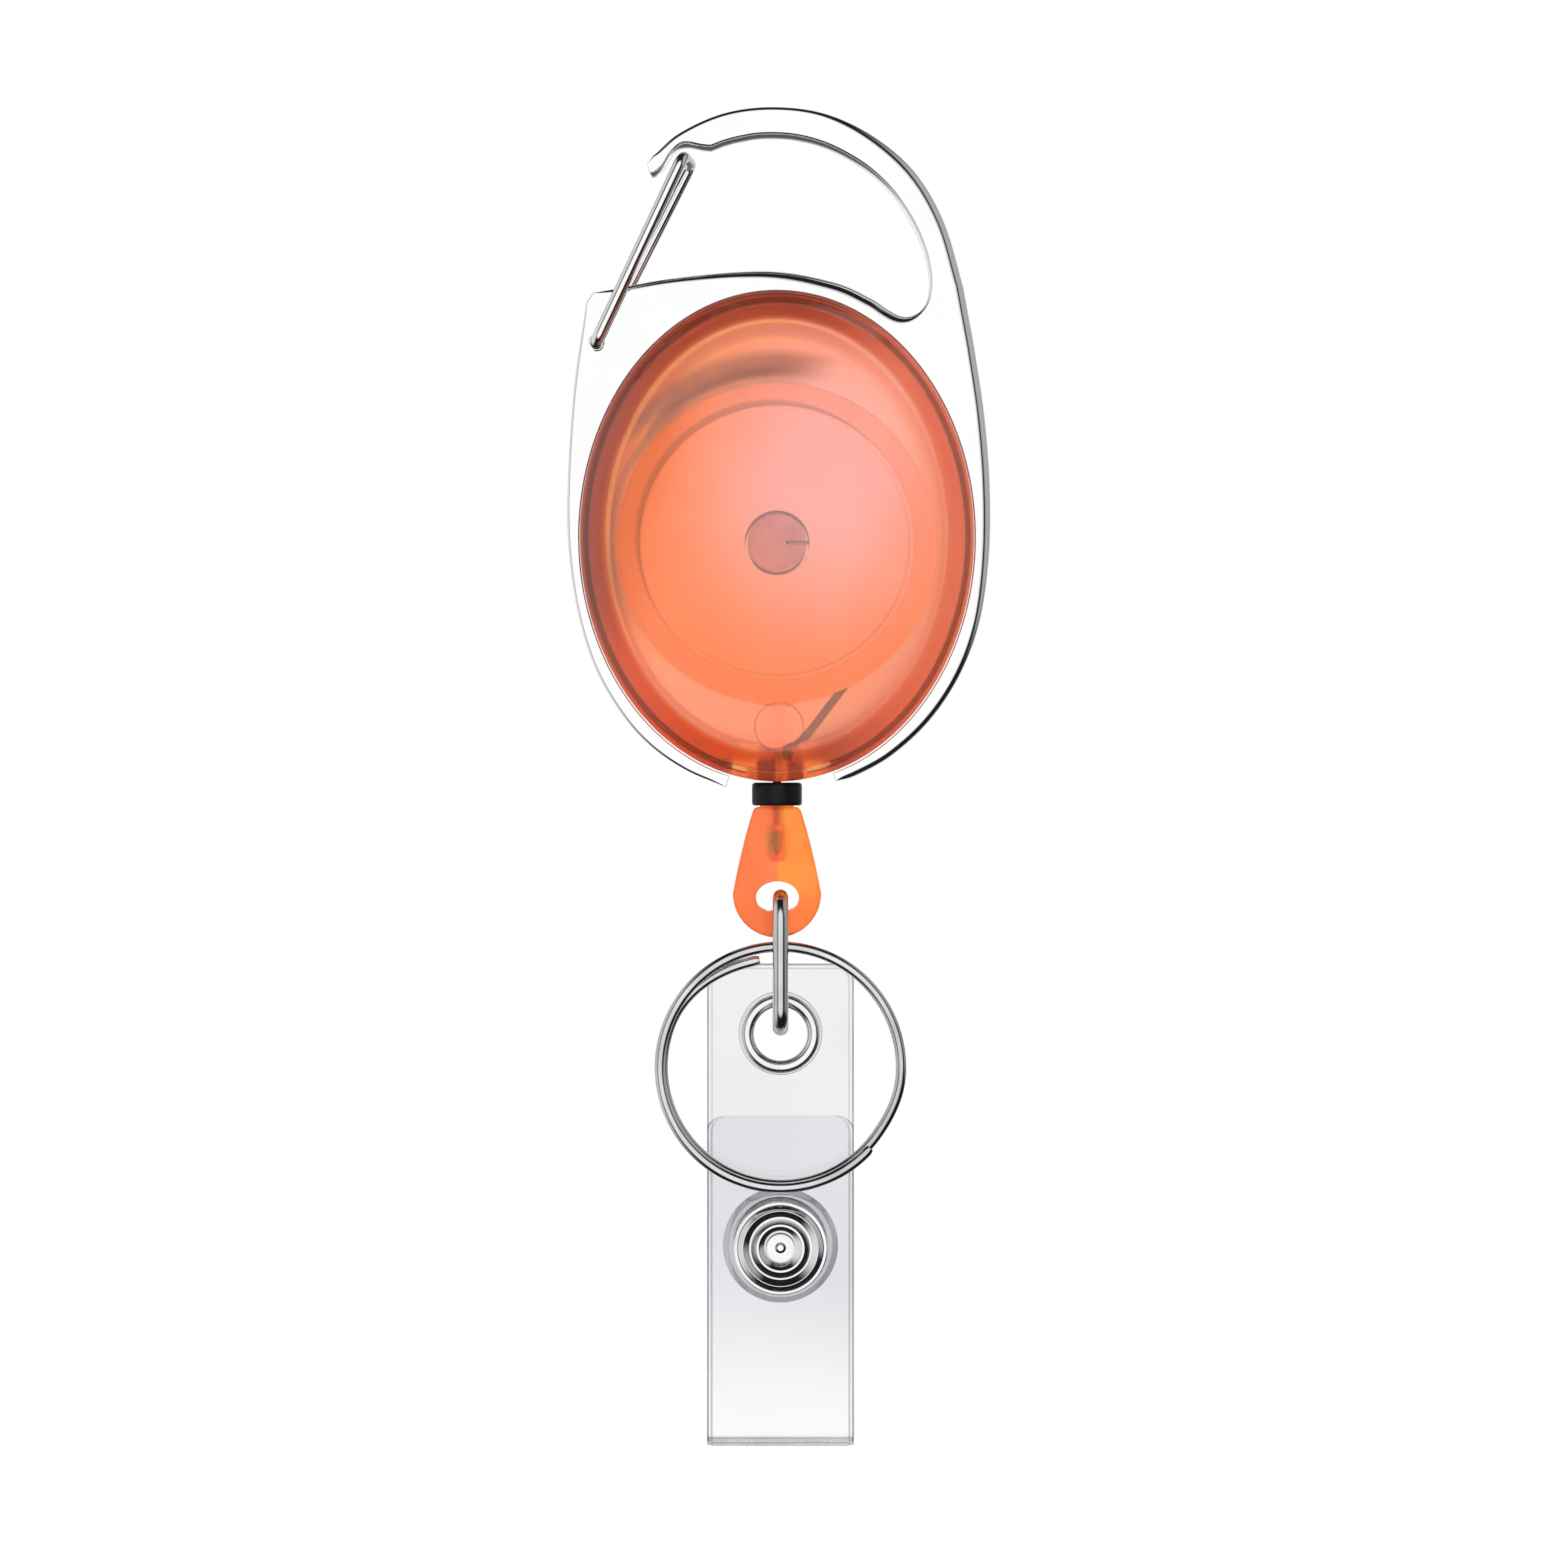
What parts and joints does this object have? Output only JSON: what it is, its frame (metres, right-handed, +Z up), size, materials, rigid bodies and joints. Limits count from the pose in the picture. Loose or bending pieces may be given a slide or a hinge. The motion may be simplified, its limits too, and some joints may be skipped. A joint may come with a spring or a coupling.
{
  "type": "retractable badge reel",
  "caption": "Retractable badge reel in a bright metal carabiner with a wire gate, translucent orange housing and tab, key ring, and a clear strap with a snap.",
  "frame": {"origin": "inside of the hook's crown, where the reel hangs on a belt loop or ring", "axes": "+Z up along the hanging reel, -Y out of the front face, +X to the right seen from the front"},
  "size_m": [0.042, 0.0112, 0.1339],
  "materials": {
    "chrome_frame": "bright polished plate with rounded edges",
    "plated_steel": "nickel plated wire and pressed rings, bright",
    "spring_steel": "blued spring strip, satin",
    "axle_metal": "matte turned",
    "orange_shell": "translucent orange-red moulding, glossy",
    "orange_tab": "translucent orange moulding, glossy",
    "reel_plastic": "natural white moulding, satin",
    "black_cord": "fine braided nylon",
    "black_plastic": "satin moulding",
    "clear_vinyl": "clear flexible vinyl, glossy with faint ripples"
  },
  "bodies": {
    "housing": {"carabiner_frame": "chrome_frame", "front_shell": "orange_shell", "rear_shell": "orange_shell", "cord_guide": "orange_shell", "axle_post": "axle_metal", "mainspring": "spring_steel"},
    "gate": {"wire_gate": "plated_steel"},
    "reel": {"spool": "reel_plastic", "spool_cover": "reel_plastic", "wound_cord": "black_cord"},
    "cord_end": {"cord_tail": "black_cord", "cord_knot": "black_cord"},
    "tab": {"pull_tab": "orange_tab", "stop_collar": "black_plastic"},
    "link": {"link_ring": "plated_steel"},
    "key_ring": {"split_ring": "plated_steel"},
    "strap": {"strap_long": "clear_vinyl", "eyelet_barrel": "plated_steel", "eyelet_washer": "plated_steel", "snap_post": "plated_steel", "snap_stud": "plated_steel"},
    "flap": {"strap_flap": "clear_vinyl", "snap_socket": "plated_steel", "snap_cap": "plated_steel"}
  },
  "joints": [
    {"name": "gate_hinge", "type": "hinge", "parent": "housing", "child": "gate", "pos_m": [-0.018, 0, -0.0209], "axis": [0, 1, 0], "range_deg": [0, 38], "stiffness_Nm_per_rad": 0.03, "springref_deg": -20.05},
    {"name": "cord_pull", "type": "slide", "parent": "housing", "child": "cord_end", "axis": [0, 0, -1], "range_m": [0, 0.86], "stiffness_N_per_m": 1.5, "springref_m": -0.4, "deforming": ["cord_tail"]},
    {"name": "spool_spin", "type": "hinge", "parent": "housing", "child": "reel", "pos_m": [0, 0, -0.0409], "axis": [0, 1, 0], "range_deg": [0, 3600]},
    {"name": "tab_twist", "type": "hinge", "parent": "cord_end", "child": "tab", "pos_m": [0, 0, -0.0705], "axis": [0, 0, 1], "continuous": true},
    {"name": "link_swing", "type": "hinge", "parent": "tab", "child": "link", "pos_m": [0.00035, 0, -0.07605], "axis": [1, 0, 0], "range_deg": [-12, 12]},
    {"name": "ring_lift", "type": "hinge", "parent": "link", "child": "key_ring", "pos_m": [0.00035, -0.0021, -0.0813], "axis": [-1, 0, 0], "range_deg": [0, 100]},
    {"name": "strap_swing", "type": "hinge", "parent": "link", "child": "strap", "pos_m": [0.00035, 0, -0.0891], "axis": [0, 1, 0], "range_deg": [-75, 75]},
    {"name": "flap_fold", "type": "hinge", "parent": "strap", "child": "flap", "pos_m": [0.00035, 0.0021, -0.1313], "axis": [-1, 0, 0], "range_deg": [0, 150]}
  ],
  "couplings": [
    {"joint": "spool_spin", "follows": "cord_pull", "rad_per_m": 73}
  ]
}
